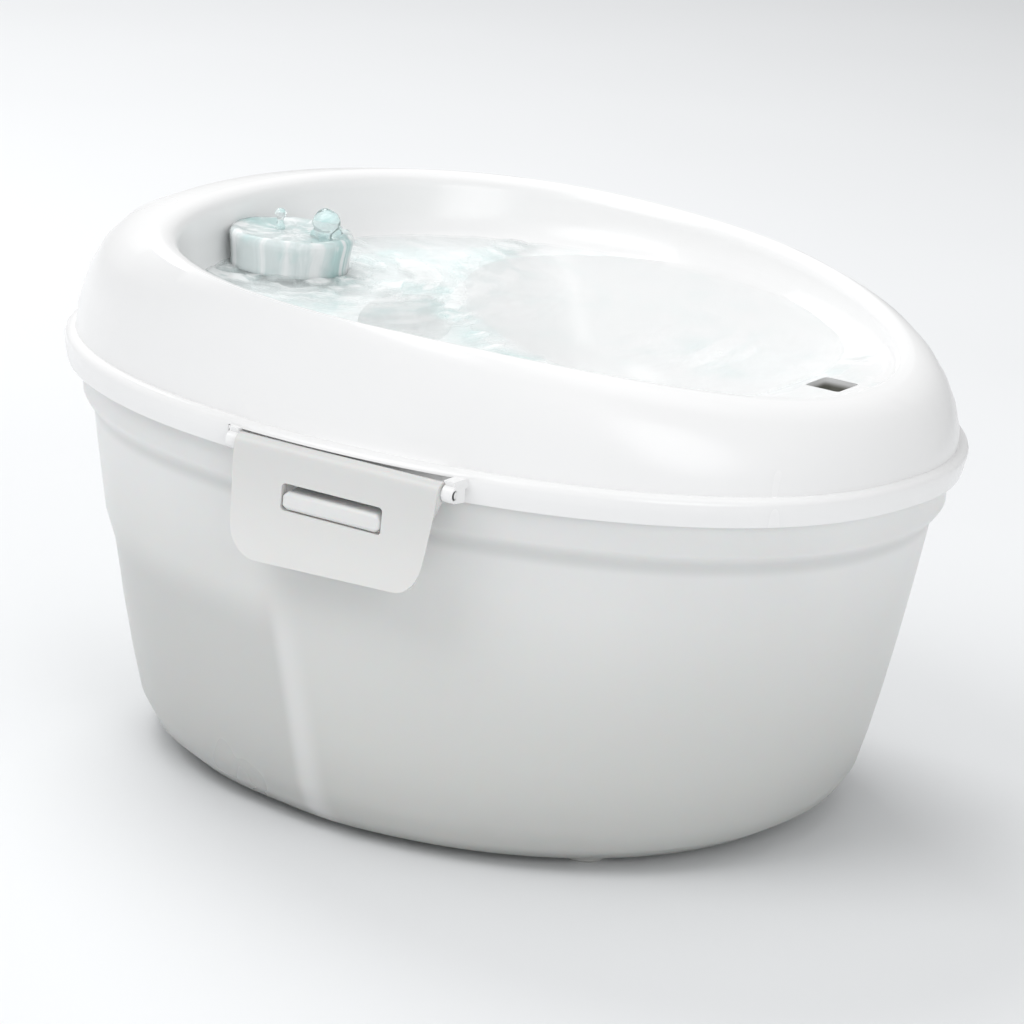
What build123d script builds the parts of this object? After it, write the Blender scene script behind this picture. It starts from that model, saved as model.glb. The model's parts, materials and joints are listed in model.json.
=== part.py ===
from build123d import *
from math import atan2, cos, hypot, pi, radians, sin, sqrt, tan
import os

# Pet water fountain. Millimetres, +Z up, origin on the ground under the middle of the lid's skirt.
# +X is the front, where the drain is. The spout is at the rear, and a latch is on each long side.

# ---- Driving dimensions ----
# Plan shape of the mouldings
plan_power = 2.15
oval_points = 18
tank_points = 32
bowl_points = 26

# Tank
tank_wall = 2.4
tank_floor = 2.6
base_half_length = 95.0
base_half_width = 94.5
base_forward = 7.0
base_round = 12.0
shoulder_z = 88.5
shoulder_half_length = 121.5
shoulder_forward = 1.0
shoulder_half_width = 95.0
flank_bulge = 0.65
collar_step = 3.2
collar_rise = 4.5
rim_z = 106.0

# Recessed rear flanks of the tank
recess_depth = 1.5
recess_top_z = 61.0
recess_fade = 8.0
recess_edge_x = -12.0
recess_lean = 0.30
recess_blend = 16.0

# Feet
foot_proud = 1.5
foot_sunk = 1.0
foot_radius = 6.0
foot_clearance = 0.1
foot_chamfer = 0.6
foot_x = 60.0
foot_y = 55.0

# Cord notch in the tank's rim
notch_width = 9.0
notch_depth = 7.0

# Lid skirt, bead and ring
lid_wall = 2.2
skirt_half_length = 130.0
skirt_half_width = 103.5
skirt_bottom_z = 101.7
skirt_inset = 1.2
bead_z = 107.6
bead_radius = 2.6
crest_half_length = 104.0
crest_half_width = 97.0
crest_forward = 9.5
crest_z = 142.0
crest_tilt = -0.042
crest_egg = -0.155
crest_flat = 5.0
crest_round = 4.2
lip_depth = 5.0
lip_clearance = 0.8

# Shelf and drinking bowl
shelf_z = 125.5
shelf_end_round = 4.0
shelf_side_round = 13.0
bowl_depth = 35.0
bowl_draft = 12.0
bowl_round = 9.0
bowl_rise = 6.0
bowl_centre_x = 38.0
bowl_centre_y = 15.0
spill_radius = 130.0
spill_centre_x = 87.0
spill_centre_y = 74.0
spill_slope = 34.0
ledge_x = 88.0
ledge_length = 86.0
ledge_width = 104.0
outline_blend = 14.0

# Small scoop beside the bowl
scoop_x = -20.0
scoop_y = -26.0
scoop_half_length = 31.0
scoop_half_width = 13.0
scoop_turn = 117.0
scoop_depth = 13.0
scoop_round = 8.0

# Drain hole
drain_x = 98.0
drain_length = 10.0
drain_width = 12.6
drain_wall = 1.8
drain_drop = 9.0
drain_corner = 1.2

# Spout sleeve
spout_x = -71.5
spout_y = -7.0
spout_bore = 16.4
spout_wall = 2.0
spout_proud = 3.0
sleeve_drop = 15.0

# Deflector cap
cap_top_radius = 17.2
cap_foot_radius = 15.5
cap_top_z = 137.0
cap_foot_gap = 2.0
cap_wall = 1.4
cap_recess = 1.6
cap_fit = 0.3
cap_seat = 1.2
cap_ring_gap = 0.5
cap_rim_chamfer = 0.4
cap_holes = 6
cap_hole_radius = 1.8
cap_hole_circle = 6.0

# Latches
latch_centre_x = 11.2
latch_width = 62.5
latch_height = 33.0
latch_thickness = 2.6
latch_corner = 9.0
latch_gap = 1.0
slot_width = 31.0
slot_height = 7.4
slot_top_drop = 9.9
slot_corner = 1.2
hinge_rise = 0.5
rib_clearance = 0.5
rib_top_gap = 2.0
rib_front_round = 1.2
knuckle_radius = 2.8
pin_radius = 1.25
pin_clearance = 0.06
ear_thickness = 3.2
ear_gap = 0.4
cutout_margin = 5.5

# Pump
pump_x = -48.0
pump_length = 24.0
pump_width = 34.0
pump_height = 42.0
pump_wall = 1.8
pump_round = 3.0
cup_height = 3.5
cup_radius = 4.0
cup_stem_radius = 1.6
cup_sunk = 1.5
cup_lip = 0.8
cup_hollow = 1.2
cup_x = 8.0
cup_y = 11.0
rotor_z = 33.0
can_bore = 12.4
can_wall = 1.0
can_length = 20.0
core_depth = 10.0
core_leg = 5.0
core_gap = 14.8
core_bottom_gap = 3.0
coil_thickness = 2.2
coil_gap = 0.5
coil_length = 9.0
magnet_radius = 5.7
magnet_length = 16.0
rotor_end_gap = 0.6
shaft_radius = 1.0
shaft_clearance = 0.05
bush_radius = 2.4
bush_length = 2.0
bush_wall = 1.0
spoke_width = 1.6
hub_radius = 3.4
blade_count = 6
blade_radius = 9.6
blade_thickness = 1.2
blade_width = 5.0
disc_thickness = 1.2
disc_gap = 0.5
chamber_bore = 22.4
chamber_depth = 8.0
chamber_wall = 2.0
chamber_side = 30.0
chamber_corner = 3.0
seal_radius = 12.6
seal_section = 1.2
nozzle_radius = 4.6
nozzle_bore = 6.8
nozzle_height = 12.0
intake_radius = 6.5
strainer_side = 23.0
strainer_depth = 4.4
strainer_wall = 1.2
strainer_slot = 1.6
strainer_pitch = 4.4
strainer_corner = 2.5
gate_thickness = 1.2
gate_side = 12.0
gate_travel = 5.0
gate_gap = 0.3
gate_y = -4.0
rail_lip = 1.1
knob_side = 3.0
knob_proud = 1.2
gland_radius = 4.0
gland_bore = 4.6
gland_length = 6.0
gland_z = 36.0

# Riser tube
riser_wall = 1.5
riser_fit = 0.1
riser_lap = 9.0
riser_low_z = 76.0
riser_high_z = 94.0
riser_bend = 20.0
riser_top_gap = 3.0
grommet_length = 6.0
grommet_fit = 0.25

# Pump cover
cover_radius = 33.0
cover_centre_x = -46.0
cover_front_x = -20.0
cover_wall = 2.0
cover_top_z = 62.0
cover_round = 6.0
cover_hole_gap = 0.8
cord_slot_width = 7.0
cord_slot_height = 7.0

# Filter cartridge
cartridge_width = 46.0
cartridge_height = 42.0
cartridge_low_z = 9.0
cartridge_depth = 11.0
cartridge_fit = 0.3
flange_margin = 3.0
flange_thickness = 2.0
frame_wall = 2.2
foam_depth = 5.2
carbon_depth = 4.3
grille_depth = 1.5
bar_width = 1.8
bar_rows = 3
bar_columns = 4
grille_slots = 8
grille_slot_width = 2.2


# ---- Shared geometry ----
def radius_at(angle, half_length, half_width, power=plan_power):
    """Polar radius of a superellipse."""
    along = abs(cos(angle) / half_length) ** power
    across = abs(sin(angle) / half_width) ** power
    return (along + across) ** (-1 / power)


def closed_wire(points):
    return Wire(Spline(*points, periodic=True))


def angles(count):
    return [2 * pi * i / count for i in range(count)]


def oval(half_length, half_width, z, forward=0.0, egg=0.0, tilt=0.0, inset=None, count=oval_points):
    """Closed superellipse outline. The inset is a function of x, z and the polar angle."""
    points = []
    for angle in angles(count):
        r = radius_at(angle, half_length, half_width)
        if inset:
            r -= inset(forward + r * cos(angle), z, angle)
        x = r * cos(angle)
        y = r * sin(angle) * (1 + egg * x / half_length)
        points.append((x + forward, y, z + tilt * (x + forward)))
    return closed_wire(points)


def smooth_step(value):
    s = min(max(value, 0.0), 1.0)
    return s * s * (3 - 2 * s)


def loft_solid(wires):
    """Skin through closed outlines, straight between one and the next, which keeps the facets few."""
    return Solid.make_loft(wires, True)


def mirrored_y(shape):
    return mirror(shape, Plane.XZ)


def cylinder_x(radius, x_low, x_high, y=0.0, z=0.0):
    """Cylinder along X between two x values."""
    middle = (x_low + x_high) / 2
    return Pos(middle, y, z) * Rot(0, 90, 0) * Cylinder(radius, x_high - x_low)


def block(x_low, x_high, y_low, y_high, z_low, z_high):
    size = (x_high - x_low, y_high - y_low, z_high - z_low)
    centre = ((x_low + x_high) / 2, (y_low + y_high) / 2, (z_low + z_high) / 2)
    return Pos(*centre) * Box(*size)


# ---- Tank ----
tank_bottom_z = foot_proud
floor_z = tank_bottom_z + tank_floor
rim_half_length = shoulder_half_length + collar_step
rim_half_width = shoulder_half_width + collar_step


def recess(x, z, angle):
    """How far the rear flanks sit back from the full outline."""
    edge = recess_edge_x + recess_lean * (recess_top_z - z)
    along = smooth_step((edge - x) / recess_blend)
    down = smooth_step((recess_top_z - z) / recess_fade)
    return recess_depth * along * down


def tank_outline(z, low_z, corner, shrink):
    """The tank's outline at a height, for the outside or, shrunk by the wall, the inside."""
    share = (z - tank_bottom_z) / (shoulder_z - tank_bottom_z)
    rise = min(max(share, 0.0), 1.0)
    out = collar_step * smooth_step((z - shoulder_z) / collar_rise)
    length_share = rise**flank_bulge
    half_length = base_half_length + (shoulder_half_length - base_half_length) * length_share
    half_width = base_half_width + (shoulder_half_width - base_half_width) * rise
    forward = base_forward + (shoulder_forward - base_forward) * length_share
    above = min(z - low_z, corner)
    corner_in = corner - sqrt(corner**2 - (corner - above) ** 2)
    offset = out - shrink - corner_in
    return oval(half_length + offset, half_width + offset, z, forward, inset=recess, count=tank_points)


def tank_heights(low_z, corner, top_z):
    curve = [low_z + corner * (1 - cos(radians(a))) for a in (0, 28, 58, 90)]
    curve_z = curve[-1]
    fade = [recess_top_z - recess_fade * s for s in (1.0, 0.5, 0.0)]
    flank = [curve_z + (fade[0] - curve_z) * s for s in (0.25, 0.6)]
    flank += fade + [(recess_top_z + shoulder_z) / 2, shoulder_z]
    step = [shoulder_z + collar_rise * s for s in (0.35, 0.65, 1.0)]
    return curve + flank + step + [top_z]


def tank_body(low_z, corner, shrink, top_z):
    wires = [tank_outline(z, low_z, corner, shrink) for z in tank_heights(low_z, corner, top_z)]
    return loft_solid(wires)


def foot_places():
    return [(base_forward + sx * foot_x, sy * foot_y) for sx in (-1, 1) for sy in (-1, 1)]


def latch_side_y():
    """Outer face of a closed latch flap, as a distance from the middle."""
    return skirt_half_width + latch_gap + latch_thickness


hinge_y = latch_side_y() - knuckle_radius
hinge_z = skirt_bottom_z + knuckle_radius + hinge_rise
slot_top_z = hinge_z + knuckle_radius - slot_top_drop
slot_bottom_z = slot_top_z - slot_height


def make_catch_rib():
    """The rib that the flap's slot snaps over, for the -Y side."""
    low_z = slot_bottom_z + rib_clearance
    high_z = slot_top_z - rib_top_gap
    half = slot_width / 2 - rib_clearance
    root_y = -(shoulder_half_width - tank_wall / 2)
    front_y = -latch_side_y()
    x = latch_centre_x
    rib = block(x - half, x + half, front_y, root_y, low_z, high_z)
    front = rib.faces().sort_by(Axis.Y)[0]
    return fillet(front.edges(), rib_front_round)


def make_tank():
    tank = tank_body(tank_bottom_z, base_round, 0.0, rim_z)
    tank -= tank_body(floor_z, base_round - tank_wall, tank_wall, rim_z + 1)
    rib = make_catch_rib()
    tank = tank + rib + mirrored_y(rib)
    for x, y in foot_places():
        pocket = Cylinder(foot_radius + foot_clearance, foot_sunk)
        tank -= Pos(x, y, tank_bottom_z + foot_sunk / 2) * pocket
    x_out = -rim_half_length - 2
    x_in = x_out + 16
    half = notch_width / 2
    notch = block(x_out, x_in, -half, half, rim_z - notch_depth, rim_z + 1)
    return tank - notch


def make_feet():
    """Four rubber feet with a chamfered edge, in pockets under the tank."""
    height = foot_proud + foot_sunk
    foot = Pos(0, 0, height / 2) * Cylinder(foot_radius, height)
    foot = chamfer(foot.edges().group_by(Axis.Z)[0], foot_chamfer)
    return Compound([Pos(x, y, 0) * foot for x, y in foot_places()])


# ---- Lid ----
def skirt_band():
    """Sloping band with a rounded bead along its top."""
    levels = [(skirt_bottom_z, -skirt_inset)]
    levels += [((skirt_bottom_z + bead_z) / 2, -skirt_inset * 0.42)]
    for turn in (0, 28, 56, 85):
        a = radians(turn)
        levels += [(bead_z + bead_radius * sin(a), bead_radius * (cos(a) - 1))]
    wires = [oval(skirt_half_length + d, skirt_half_width + d, z) for z, d in levels]
    return loft_solid(wires)


def dome_section(turn, shrink):
    """One outline of the ring's outside, from upright at the bead to level at the crest."""
    a = radians(turn)
    inward = 1 - cos(a)
    upward = sin(a)
    start = bead_radius + shrink
    half_length = skirt_half_length - start
    half_length += (crest_half_length - shrink - half_length) * inward
    half_width = skirt_half_width - start
    half_width += (crest_half_width - shrink - half_width) * inward
    low_z = bead_z
    z = low_z + (crest_z - shrink - low_z) * upward
    forward = crest_forward * inward
    return oval(half_length, half_width, z, forward, crest_egg * inward, crest_tilt * upward)


dome_turns = (0, 15, 30, 45, 60, 75, 90)


def dome(shrink):
    return loft_solid([dome_section(turn, shrink) for turn in dome_turns])


def basin_wall(turn, grow):
    """One outline of the ring's inner wall, from under the crest's round edge down to the shelf."""
    a = radians(turn)
    inward = 1 - cos(a)
    down = sin(a)
    half_length = crest_half_length - crest_flat + grow
    half_width = crest_half_width - crest_flat + grow
    start_z = crest_z - crest_round
    z = start_z - (start_z - shelf_z + grow) * down

    def inset(x, z_here, angle):
        across = sin(angle) ** 2
        full = shelf_end_round + (shelf_side_round - shelf_end_round) * across
        return full * inward

    tilt = crest_tilt * (1 - down)
    return oval(half_length, half_width, z, crest_forward, crest_egg, tilt, inset)


def crest_edge(out, z):
    """Outline of the basin's mouth, on or near the tilted crest."""
    wide = crest_flat - out
    return oval(crest_half_length - wide, crest_half_width - wide, z, crest_forward, crest_egg, crest_tilt)


def shelf_cut(grow):
    """Room over the shelf, with the crest's inner edge rounded, or the grown body that makes its wall."""
    wires = [basin_wall(turn, grow) for turn in (0, 25, 50, 70, 90)]
    if grow:
        return loft_solid([crest_edge(grow, crest_z - grow / 2)] + wires)
    mouth = [crest_edge(crest_round, crest_z + crest_round)]
    for turn in (0, 30, 60):
        a = radians(turn)
        mouth.append(crest_edge(crest_round * (1 - sin(a)), crest_z - crest_round * (1 - cos(a))))
    return loft_solid(mouth + wires)


def polar_circle(angle, centre_x, centre_y, half_length, half_width):
    """Distance from the bowl's middle to an ellipse round another centre, along an angle."""
    px = bowl_centre_x - centre_x
    py = bowl_centre_y - centre_y
    qa = (cos(angle) / half_length) ** 2 + (sin(angle) / half_width) ** 2
    qb = px * cos(angle) / half_length**2 + py * sin(angle) / half_width**2
    qc = (px / half_length) ** 2 + (py / half_width) ** 2 - 1
    return (-qb + sqrt(qb * qb - qa * qc)) / qa


def bowl_outline(z, grow):
    """The drinking bowl's outline: the ring's wall, the spill edge and the front ledge, blended."""
    depth = max(shelf_z - z, 0.0)
    above = max(z - shelf_z, 0.0)
    corner = bowl_round + grow
    low_z = shelf_z - bowl_depth - grow
    short = min(z - low_z, corner)
    corner_in = corner - sqrt(max(corner**2 - (corner - short) ** 2, 0.0))
    wall_in = crest_flat + 4.0 - above * 0.25 + depth * tan(radians(bowl_draft)) - grow
    spill = spill_radius - depth * tan(radians(spill_slope)) + grow
    ledge = depth * tan(radians(bowl_draft)) * 1.6 - grow
    points = []
    for angle in angles(bowl_points):
        ring = polar_circle(angle, crest_forward, 0, crest_half_length - wall_in, crest_half_width - wall_in)
        egg_x = bowl_centre_x + ring * cos(angle) - crest_forward
        ring *= 1 + crest_egg * egg_x / crest_half_length * sin(angle) ** 2
        edge = polar_circle(angle, spill_centre_x, spill_centre_y, spill, spill)
        front = polar_circle(angle, ledge_x - ledge_length, 0, ledge_length - ledge, ledge_width - ledge)
        blend = outline_blend
        r = (ring**-blend + edge**-blend + front**-blend) ** (-1 / blend) - corner_in
        points.append((bowl_centre_x + r * cos(angle), bowl_centre_y + r * sin(angle), z))
    return closed_wire(points)


def bowl_cut(grow):
    low_z = shelf_z - bowl_depth - grow
    corner = bowl_round + grow
    levels = [low_z + corner * (1 - cos(radians(a))) for a in (0, 30, 60, 90)]
    levels.append(shelf_z)
    if not grow:
        levels.append(shelf_z + bowl_rise)
    return loft_solid([bowl_outline(z, grow) for z in levels])


def scoop_cut(grow):
    """The small scoop, an oval dish turned beside the spill edge."""
    wires = []
    for turn in (0, 30, 60, 90):
        a = radians(turn)
        inward = scoop_round * (1 - cos(a))
        z = shelf_z - (scoop_depth + grow) * sin(a)
        half_length = scoop_half_length + grow - inward
        half_width = scoop_half_width + grow - inward
        wires.append(oval(half_length, half_width, z))
    if not grow:
        wires = [oval(scoop_half_length, scoop_half_width, shelf_z + 3)] + wires
    return Pos(scoop_x, scoop_y, 0) * Rot(0, 0, scoop_turn) * loft_solid(wires)


def straight_oval(half_length, half_width, low_z, high_z, forward=0.0):
    return loft_solid([oval(half_length, half_width, z, forward) for z in (low_z, high_z)])


def rim_oval(inset, low_z, high_z):
    """Upright oval that follows the tank's rim."""
    return straight_oval(rim_half_length - inset, rim_half_width - inset, low_z, high_z, shoulder_forward)


def hollow_lid():
    """The ring's outer wall and skirt, with the ledge that rests on the tank's rim and its locating lip."""
    skirt_in = lid_wall + skirt_inset
    low_z = skirt_bottom_z - 1
    under = straight_oval(skirt_half_length - skirt_in, skirt_half_width - skirt_in, low_z, rim_z)
    lip_in = tank_wall + lip_clearance
    under -= rim_oval(lip_in, rim_z - lip_depth, rim_z + 1)
    over = dome(lid_wall) & block(-200, 200, -200, 200, rim_z + lid_wall, 200)
    hole_in = lip_in + lid_wall
    hole = rim_oval(hole_in, low_z - 1, rim_z + lid_wall + 1)
    half = notch_width / 2 + 2
    cord_gap = block(-skirt_half_length - 1, 0, -half, half, low_z, rim_z)
    return skirt_band() + dome(0.0) - under - over - hole - cord_gap


def latch_cutout(side):
    """Clears the skirt band where a latch hangs, for the side +1 or -1."""
    half = latch_width / 2 + cutout_margin
    y_in = side * (rim_half_width + 0.6)
    y_out = side * (skirt_half_width + 10)
    top = hinge_z + knuckle_radius + ear_gap
    x = latch_centre_x
    return block(x - half, x + half, min(y_in, y_out), max(y_in, y_out), skirt_bottom_z - 5, top)


def latch_ears(side):
    """Two ears that carry a latch's pin."""
    ears = []
    for end in (-1, 1):
        near_x = latch_centre_x + end * (latch_width / 2 + ear_gap)
        far_x = near_x + end * ear_thickness
        x_low = min(near_x, far_x)
        x_high = max(near_x, far_x)
        y_in = side * (rim_half_width + 1.0)
        y_root = side * (rim_half_width - 6.0)
        y_pin = side * hinge_y
        upright = block(x_low, x_high, min(y_in, y_pin), max(y_in, y_pin), hinge_z - knuckle_radius, bead_z + 1)
        upright += block(x_low, x_high, min(y_root, y_pin), max(y_root, y_pin), rim_z, bead_z + 1)
        upright += cylinder_x(knuckle_radius, x_low, x_high, y_pin, hinge_z)
        ears.append(upright - cylinder_x(pin_radius, x_low, x_high, y_pin, hinge_z))
    return ears[0] + ears[1]


def spout_place(z):
    return Pos(spout_x, spout_y, z)


def make_lid():
    grown = shelf_cut(lid_wall) + bowl_cut(lid_wall) + scoop_cut(lid_wall)
    lid = hollow_lid() + grown
    sleeve_length = spout_proud + sleeve_drop
    sleeve_z = shelf_z + spout_proud - sleeve_length / 2
    lid += spout_place(sleeve_z) * Cylinder(spout_bore / 2 + spout_wall, sleeve_length)
    chute = (drain_length + 2 * drain_wall, drain_width + 2 * drain_wall, drain_drop)
    lid += Pos(drain_x, 0, shelf_z - drain_drop / 2) * Box(*chute)
    for side in (-1, 1):
        lid -= latch_cutout(side)
        lid += latch_ears(side)
    basin = shelf_cut(0) + bowl_cut(0) + scoop_cut(0)
    rise = spout_place(shelf_z + spout_proud / 2) * Cylinder(spout_bore / 2 + spout_wall, spout_proud)
    lid = lid - basin + rise
    lid -= spout_place(sleeve_z) * Cylinder(spout_bore / 2, sleeve_length + 2)
    drain = Box(drain_length, drain_width, 40)
    drain = fillet(drain.edges().filter_by(Axis.Z), drain_corner)
    return lid - Pos(drain_x, 0, shelf_z) * drain


# ---- Spout: deflector cap, riser and grommet ----
def revolved(points):
    """Solid of revolution round Z from (radius, z) corners."""
    outline = Polyline(*[(r, 0, z) for r, z in points], close=True)
    return revolve(make_face(outline), Axis.Z, 360)


def make_deflector_cap():
    """Clear cap: flared skirt, dished top with holes, and an inner ring that sits on the spout."""
    boss_radius = spout_bore / 2 + spout_wall
    boss_top_z = shelf_z + spout_proud
    foot_z = shelf_z + cap_foot_gap
    plate_z = cap_top_z - cap_recess
    under_z = plate_z - cap_wall
    flare = (cap_top_radius - cap_foot_radius) / (cap_top_z - foot_z)
    ring_in = boss_radius - cap_seat
    ring_fit = boss_radius + cap_fit
    ring_out = ring_fit + cap_wall
    ring_z = shelf_z + cap_ring_gap

    def skirt_radius(z):
        return cap_foot_radius + flare * (z - foot_z)

    rim_z_low = cap_top_z - cap_rim_chamfer
    profile = [(cap_foot_radius, foot_z), (skirt_radius(rim_z_low), rim_z_low)]
    profile += [(cap_top_radius - cap_rim_chamfer, cap_top_z), (cap_top_radius - cap_wall, cap_top_z)]
    profile += [(skirt_radius(plate_z) - cap_wall, plate_z)]
    profile += [(0, plate_z), (0, under_z), (ring_in, under_z), (ring_in, boss_top_z)]
    profile += [(ring_fit, boss_top_z), (ring_fit, ring_z), (ring_out, ring_z), (ring_out, under_z)]
    profile += [(skirt_radius(under_z) - cap_wall, under_z), (cap_foot_radius - cap_wall, foot_z)]
    cap = revolved(profile)
    for angle in angles(cap_holes):
        place = Pos(cap_hole_circle * cos(angle), cap_hole_circle * sin(angle), plate_z)
        cap -= place * Cylinder(cap_hole_radius, 4 * cap_wall)
    return spout_place(0) * cap


def make_riser_tube():
    """Bent soft tube from the pump's outlet to just under the spout's top."""
    top_z = shelf_z + spout_proud - riser_top_gap
    corners = [(nozzle_x, 0, nozzle_top_z - riser_lap), (nozzle_x, 0, riser_low_z)]
    corners += [(spout_x, spout_y, riser_high_z), (spout_x, spout_y, top_z)]
    path = FilletPolyline(*corners, radius=riser_bend)
    section = Plane(origin=path @ 0, z_dir=path % 0)
    outer = sweep(section * Circle(riser_bore + riser_wall), path=path)
    return outer - sweep(section * Circle(riser_bore), path=path)


def make_riser_grommet():
    """Soft ring in the spout sleeve's lower end, round the riser."""
    low_z = shelf_z - sleeve_drop
    ring = Cylinder(spout_bore / 2, grommet_length)
    ring -= Cylinder(riser_bore + riser_wall + grommet_fit, grommet_length)
    return spout_place(low_z + grommet_length / 2) * ring


# ---- Latches ----
def make_latch_near():
    """Snap flap for the -Y side: plate, hinge roll on top, and the slot for the tank's rib."""
    x_low = latch_centre_x - latch_width / 2
    x_high = x_low + latch_width
    bottom_z = hinge_z + knuckle_radius - latch_height
    y_out = -latch_side_y()
    plate = block(x_low, x_high, y_out, y_out + latch_thickness, bottom_z, hinge_z)
    bottom = plate.faces().sort_by(Axis.Z)[0]
    plate = fillet(bottom.edges().filter_by(Axis.Y), latch_corner)
    slot = block(-slot_width / 2, slot_width / 2, -10, 10, slot_bottom_z, slot_top_z)
    slot = fillet(slot.edges().filter_by(Axis.Y), slot_corner)
    latch = plate + cylinder_x(knuckle_radius, x_low, x_high, -hinge_y, hinge_z)
    latch -= Pos(latch_centre_x, y_out, 0) * slot
    latch -= cylinder_x(pin_radius + pin_clearance, x_low, x_high, -hinge_y, hinge_z)
    return latch


def make_latch_pins():
    half = latch_width / 2 + ear_gap + ear_thickness
    x = latch_centre_x
    return Compound([cylinder_x(pin_radius, x - half, x + half, side * hinge_y, hinge_z) for side in (-1, 1)])


# ---- Pump ----
def cylinder_y(radius, y_low, y_high, x, z):
    """Cylinder along Y between two y values."""
    return Pos(x, (y_low + y_high) / 2, z) * Rot(90, 0, 0) * Cylinder(radius, y_high - y_low)


def cylinder_z(radius, z_low, z_high, x, y):
    """Upright cylinder between two heights."""
    return Pos(x, y, (z_low + z_high) / 2) * Cylinder(radius, z_high - z_low)


def rotor_cylinder(radius, x_low, x_high):
    """Cylinder on the rotor's axis."""
    return cylinder_x(radius, x_low, x_high, 0, rotor_z)


pump_rear_x = pump_x - pump_length / 2
pump_front_x = pump_x + pump_length / 2
pump_low_z = floor_z + cup_height
pump_top_z = pump_low_z + pump_height
can_radius = can_bore / 2
can_end_x = pump_rear_x + can_length
can_bore_x = can_end_x - can_wall - bush_length
chamber_x = pump_rear_x - chamber_depth - chamber_wall
chamber_top_z = rotor_z + chamber_side / 2
nozzle_x = (chamber_x + pump_rear_x) / 2
nozzle_top_z = chamber_top_z + nozzle_height
riser_bore = nozzle_radius + riser_fit
core_x = pump_rear_x + can_length / 2
core_low_z = pump_low_z + core_bottom_gap


def pump_shell(shrink):
    """The housing's outline, for its outside or, shrunk by the wall, its inside."""
    half = pump_width / 2 - shrink
    shell = block(pump_rear_x + shrink, pump_front_x - shrink, -half, half, pump_low_z, pump_top_z - shrink)
    edges = shell.edges().filter_by(Axis.Z) + shell.faces().sort_by(Axis.Z)[-1].edges()
    return fillet(edges, pump_round - shrink / 2)


def rotor_can():
    return rotor_cylinder(can_radius + can_wall, pump_rear_x, can_end_x)


def gland_x():
    return pump_front_x - pump_wall - gland_radius - 0.5


def make_pump_housing():
    """Motor shell, open underneath, with the blind can that the magnet turns in."""
    housing = pump_shell(0) - pump_shell(pump_wall) + rotor_can()
    housing -= rotor_cylinder(can_radius, pump_rear_x - 1, can_bore_x)
    housing -= rotor_cylinder(bush_radius, can_bore_x - 1, can_end_x - can_wall)
    return housing - cylinder_y(gland_radius, pump_width / 2 - 3 * pump_wall, pump_width, gland_x(), gland_z)


def core_leg_block(side, margin):
    """One upright leg of the stator core, or the room that its winding takes."""
    y_near = side * (core_gap / 2 - margin)
    y_far = side * (core_gap / 2 + core_leg + margin)
    half = core_depth / 2 + margin
    y_low = min(y_near, y_far)
    y_high = max(y_near, y_far)
    if margin:
        low_z = core_low_z + core_leg + coil_gap
        return block(core_x - half, core_x + half, y_low, y_high, low_z, low_z + coil_length)
    return block(core_x - half, core_x + half, y_low, y_high, core_low_z, rotor_z + can_radius + can_wall)


def make_stator_core():
    """U-shaped laminated core: a leg on each side of the can and a yoke under it."""
    half = core_depth / 2
    y = core_gap / 2 + core_leg
    yoke = block(core_x - half, core_x + half, -y, y, core_low_z, core_low_z + core_leg)
    return yoke + core_leg_block(-1, 0) + core_leg_block(1, 0)


def make_stator_coils():
    coils = []
    for side in (-1, 1):
        coil = core_leg_block(side, coil_thickness)
        coil = fillet(coil.edges().filter_by(Axis.Z), coil_thickness - 0.2)
        coils.append(coil - core_leg_block(side, 0))
    return Compound(coils)


def cup_places():
    return [(pump_x + sx * cup_x, sy * cup_y) for sx in (-1, 1) for sy in (-1, 1)]


def make_potting_resin():
    """Resin that fills the housing round the can, the core and the windings."""
    resin = pump_shell(pump_wall) - rotor_can() - make_stator_core()
    for coil in make_stator_coils().solids():
        resin -= coil
    for x, y in cup_places():
        resin -= cylinder_z(cup_stem_radius, pump_low_z - 1, pump_low_z + cup_sunk, x, y)
    return resin


def make_pump_cups():
    """Four suction cups that hold the pump to the tank's floor."""
    top_z = pump_low_z + cup_sunk
    profile = [(0, floor_z + cup_hollow), (cup_radius - cup_lip, floor_z + cup_lip / 2), (cup_radius, floor_z)]
    profile += [(cup_radius, floor_z + cup_lip), (cup_stem_radius, pump_low_z - cup_lip)]
    profile += [(cup_stem_radius, top_z), (0, top_z)]
    cup = revolved(profile)
    return Compound([Pos(x, y, 0) * cup for x, y in cup_places()])


def seal_groove(x_low):
    ring = rotor_cylinder(seal_radius + seal_section / 2, x_low, pump_rear_x)
    return ring - rotor_cylinder(seal_radius - seal_section / 2, x_low, pump_rear_x)


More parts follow.
